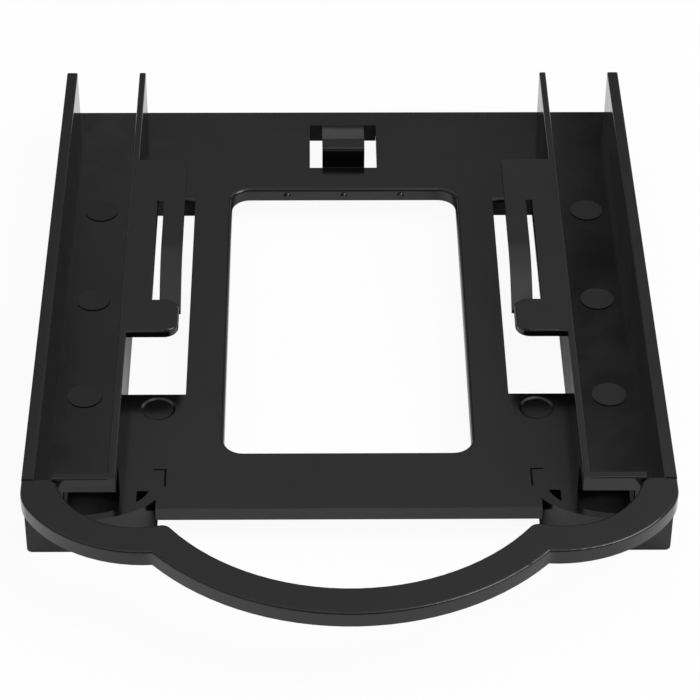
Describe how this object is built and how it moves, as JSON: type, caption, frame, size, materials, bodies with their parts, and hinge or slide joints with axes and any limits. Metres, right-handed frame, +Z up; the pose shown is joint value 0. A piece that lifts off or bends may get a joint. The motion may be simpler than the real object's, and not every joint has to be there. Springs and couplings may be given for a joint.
{
  "type": "drive bay adapter bracket",
  "caption": "Moulded plastic tray that carries a 2.5 inch drive between guide walls and spring lips in a 3.5 inch bay, with a looped pull handle.",
  "frame": {"origin": "bottom centre of the bounding box, on the plane that the feet stand on", "axes": "+Y from the handle to the open back edge, +Z up from the feet to the rail tops, +X to the right as seen from the handle"},
  "size_m": [0.1016, 0.142, 0.0154],
  "materials": {
    "plastic": "black, fine moulded texture, satin"
  },
  "bodies": {
    "root": {"bracket": "plastic"}
  },
  "joints": []
}
